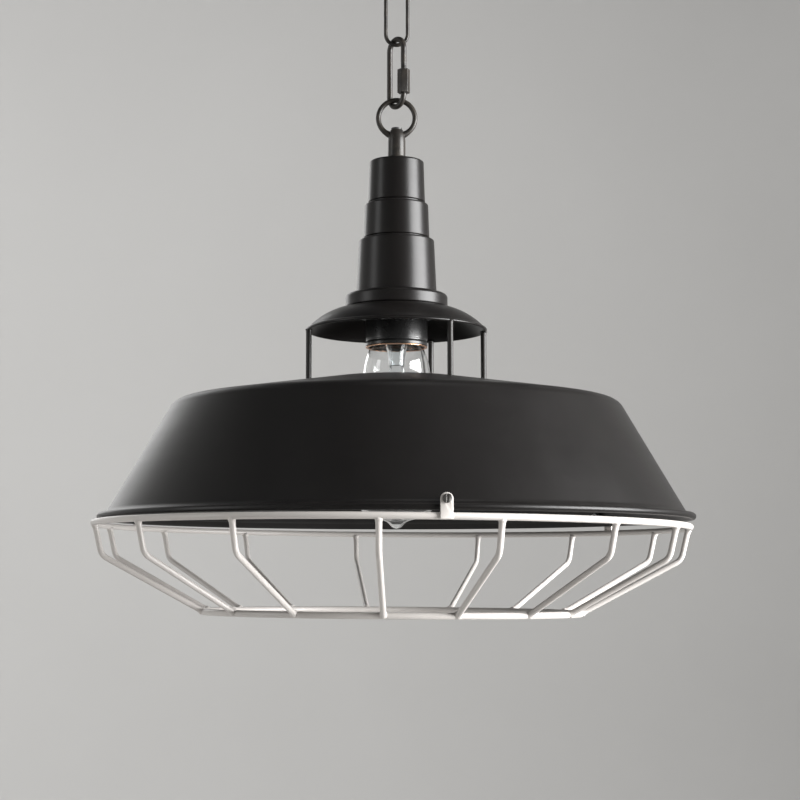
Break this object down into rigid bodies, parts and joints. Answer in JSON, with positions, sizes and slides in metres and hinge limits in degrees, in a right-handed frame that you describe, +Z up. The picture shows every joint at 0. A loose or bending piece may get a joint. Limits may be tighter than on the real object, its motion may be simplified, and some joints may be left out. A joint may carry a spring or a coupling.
{
  "type": "pendant ceiling light",
  "caption": "Wide black cone-shaped shade with a white wire cage, hung from a stepped lamp-holder cover, an eye, a quick link, a chain and a ceiling cup.",
  "frame": {"origin": "middle of the ceiling face, between the two ceiling screws, with the lamp hanging below it", "axes": "+Z up into the ceiling, along the lamp's axis; +X along the line of the two ceiling screws; -Y towards the viewer"},
  "size_m": [0.3635, 0.3629, 0.482],
  "materials": {
    "fitting_black": "satin black paint",
    "chain_black": "black coated steel, slightly worn",
    "cover_black": "satin black paint on spun metal",
    "shade_black": "satin black paint, black inside too",
    "cage_white": "off-white powder coat, semi-gloss",
    "zinc_steel": "zinc plated",
    "screw_dark": "dark zinc",
    "contact_brass": "plain brass",
    "copper_trim": "copper coloured, satin",
    "holder_plastic": "black moulded phenolic",
    "bush_plastic": "black nylon",
    "white_ceramic": "glazed white ceramic",
    "bulb_glass": "clear",
    "stem_glass": "clear, slightly milky",
    "cap_glass": "black glass",
    "cap_metal": "nickel plated",
    "lead_nickel": "bright wire",
    "filament_wire": "dull filament, unlit"
  },
  "bodies": {
    "ceiling_fitting": {"canopy_cup": "fitting_black", "crossbar": "zinc_steel", "ceiling_hook": "fitting_black", "hook_locknut": "zinc_steel"},
    "upper_link": {"chain_link_upper": "chain_black"},
    "lower_link": {"chain_link_lower": "chain_black"},
    "quick_link": {"quick_link": "chain_black"},
    "link_nut": {"quick_link_nut": "chain_black"},
    "lamp": {"suspension_eye": "chain_black", "cable_bush": "bush_plastic", "eye_washer": "zinc_steel", "eye_locknut": "zinc_steel", "holder_cover": "cover_black", "cover_flange": "cover_black", "collar_dome": "cover_black", "shade_ring": "holder_plastic", "holder_body": "holder_plastic", "holder_trim": "copper_trim", "holder_insert": "white_ceramic", "screw_shell": "contact_brass", "centre_contact": "contact_brass", "terminal_screws": "contact_brass", "hanger_rods": "fitting_black", "rod_nuts": "fitting_black", "main_shade": "shade_black", "cage_top_ring": "cage_white", "cage_wires": "cage_white", "cage_bottom_ring": "cage_white", "cage_tabs": "cage_white", "tab_screws": "screw_dark", "tab_nuts": "zinc_steel"},
    "bulb": {"bulb_glass": "bulb_glass", "bulb_cap": "cap_metal", "bulb_insulator": "cap_glass", "bulb_contact": "cap_metal", "bulb_stem": "stem_glass", "lead_wires": "lead_nickel", "filament_supports": "lead_nickel", "filament": "filament_wire"}
  },
  "joints": [
    {"name": "upper_link_swing", "type": "hinge", "parent": "ceiling_fitting", "child": "upper_link", "pos_m": [0, 0, -0.054], "axis": [1, 0, 0], "range_deg": [-30, 30]},
    {"name": "lower_link_swing", "type": "hinge", "parent": "upper_link", "child": "lower_link", "pos_m": [0, 0, -0.08995], "axis": [0, 1, 0], "range_deg": [-30, 30]},
    {"name": "quick_link_swing", "type": "hinge", "parent": "lower_link", "child": "quick_link", "pos_m": [0, 0, -0.1267], "axis": [1, 0, 0], "range_deg": [-20, 20]},
    {"name": "link_nut_travel", "type": "slide", "parent": "quick_link", "child": "link_nut", "axis": [0, 0, 1], "range_m": [0, 0.012]},
    {"name": "lamp_swing", "type": "hinge", "parent": "quick_link", "child": "lamp", "pos_m": [0, 0, -0.16605], "axis": [0.6428, -0.766, 0], "range_deg": [-20, 20]},
    {"name": "bulb_unscrew", "type": "slide", "parent": "lamp", "child": "bulb", "axis": [0, 0, -1], "range_m": [0, 0.034]}
  ]
}
